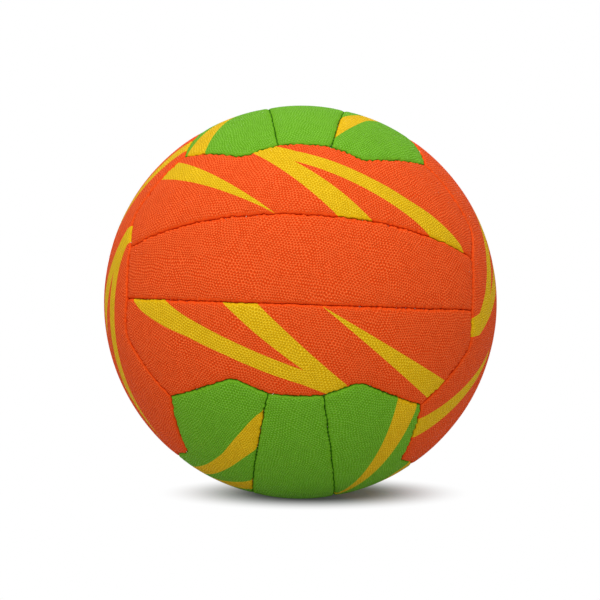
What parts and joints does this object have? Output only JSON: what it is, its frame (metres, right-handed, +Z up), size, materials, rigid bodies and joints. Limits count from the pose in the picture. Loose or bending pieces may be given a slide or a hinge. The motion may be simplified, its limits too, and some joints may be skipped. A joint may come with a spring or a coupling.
{
  "type": "netball",
  "caption": "Sewn sports ball of long rubber-skinned panels in groups of three, orange and green with yellow stripes, round an air bladder.",
  "frame": {"origin": "centre of the ball", "axes": "+Z up as the ball lies, -Y towards the face with level strips, tipped up by 16 degrees, and +X to that face's right"},
  "size_m": [0.222, 0.222, 0.222],
  "materials": {
    "skin_orange": "matte",
    "skin_green": "matte",
    "cloth": "matte",
    "thread": "matte",
    "bladder_rubber": "satin",
    "valve_rubber": "satin"
  },
  "bodies": {
    "root": {"cover_front_middle": "skin_orange", "cover_front_upper": "skin_orange", "cover_front_lower": "skin_orange", "cover_back_middle": "skin_orange", "cover_back_lower": "skin_orange", "cover_back_upper": "skin_orange", "cover_left_middle": "skin_orange", "cover_left_rear": "skin_orange", "cover_left_front": "skin_orange", "cover_right_middle": "skin_orange", "cover_right_front": "skin_orange", "cover_right_rear": "skin_orange", "cover_top_middle": "skin_green", "cover_top_left": "skin_green", "cover_top_right": "skin_green", "cover_bottom_middle": "skin_green", "cover_bottom_right": "skin_green", "cover_bottom_left": "skin_green", "backing_front_middle": "cloth", "backing_front_upper": "cloth", "backing_front_lower": "cloth", "backing_back_middle": "cloth", "backing_back_lower": "cloth", "backing_back_upper": "cloth", "backing_left_middle": "cloth", "backing_left_rear": "cloth", "backing_left_front": "cloth", "backing_right_middle": "cloth", "backing_right_front": "cloth", "backing_right_rear": "cloth", "backing_top_middle": "cloth", "backing_top_left": "cloth", "backing_top_right": "cloth", "backing_bottom_middle": "cloth", "backing_bottom_right": "cloth", "backing_bottom_left": "cloth", "seam_thread": "thread", "bladder": "bladder_rubber", "valve_housing": "valve_rubber", "valve_plug": "valve_rubber"}
  },
  "joints": []
}
